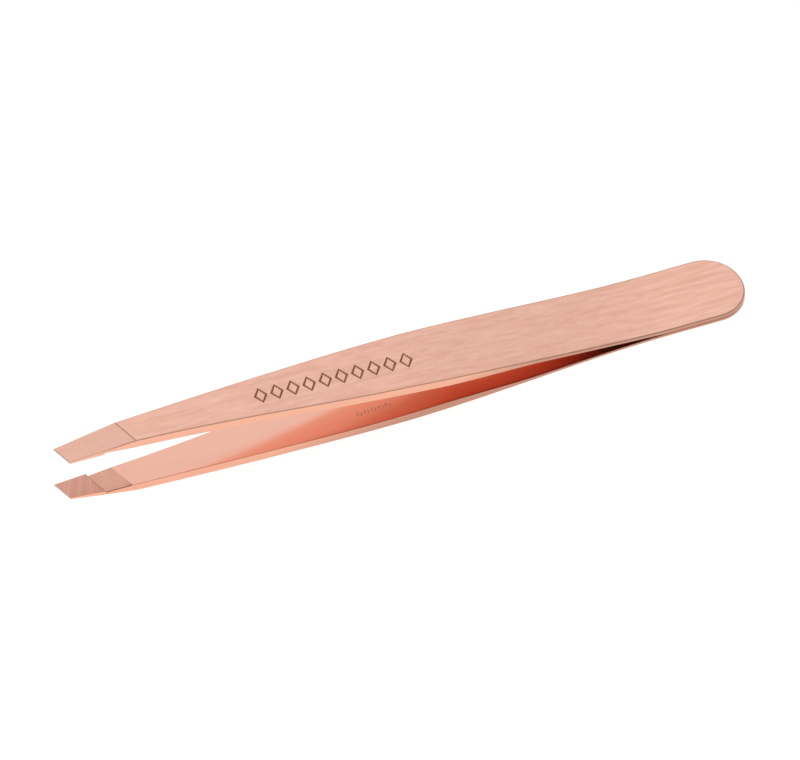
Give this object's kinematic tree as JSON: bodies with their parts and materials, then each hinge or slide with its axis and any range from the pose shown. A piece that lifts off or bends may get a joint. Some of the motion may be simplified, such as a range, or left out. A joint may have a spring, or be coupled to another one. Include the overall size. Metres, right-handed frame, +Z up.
{
  "type": "slant tweezers",
  "caption": "Slant-tip tweezers: two coated spring-steel arms spot-welded at a round butt, with bevelled jaws and narrow gripping pads cut on a slant.",
  "frame": {"origin": "on the table, under the middle of the tweezers as they lie on the butt and on the lower arm's grip", "axes": "+X towards the butt, tips towards -X; +Y towards the longer corner of the slanted tips; +Z up, roughly the direction in which the arms are squeezed"},
  "size_m": [0.0954, 0.0098, 0.0115],
  "materials": {
    "coated_steel": "lengthwise brushed stainless steel under a rose-gold coating",
    "weld_steel": "fused steel of the spot welds"
  },
  "bodies": {
    "butt": {"weld_nugget_rear": "weld_steel", "weld_nugget_front": "weld_steel"},
    "upper_arm": {"arm_upper": "coated_steel"},
    "lower_arm": {"arm_lower": "coated_steel"}
  },
  "joints": [
    {"name": "upper_arm_flex", "type": "hinge", "parent": "butt", "child": "upper_arm", "pos_m": [0.03566, 0, 0.00135], "axis": [0, -1, 0], "range_deg": [0, 2.55], "stiffness_Nm_per_rad": 1.7},
    {"name": "lower_arm_flex", "type": "hinge", "parent": "butt", "child": "lower_arm", "pos_m": [0.03566, 0, 0.00135], "axis": [0, 1, 0], "range_deg": [0, 2.55], "stiffness_Nm_per_rad": 1.7}
  ],
  "couplings": [
    {"joint": "lower_arm_flex", "follows": "upper_arm_flex", "ratio": 1}
  ]
}
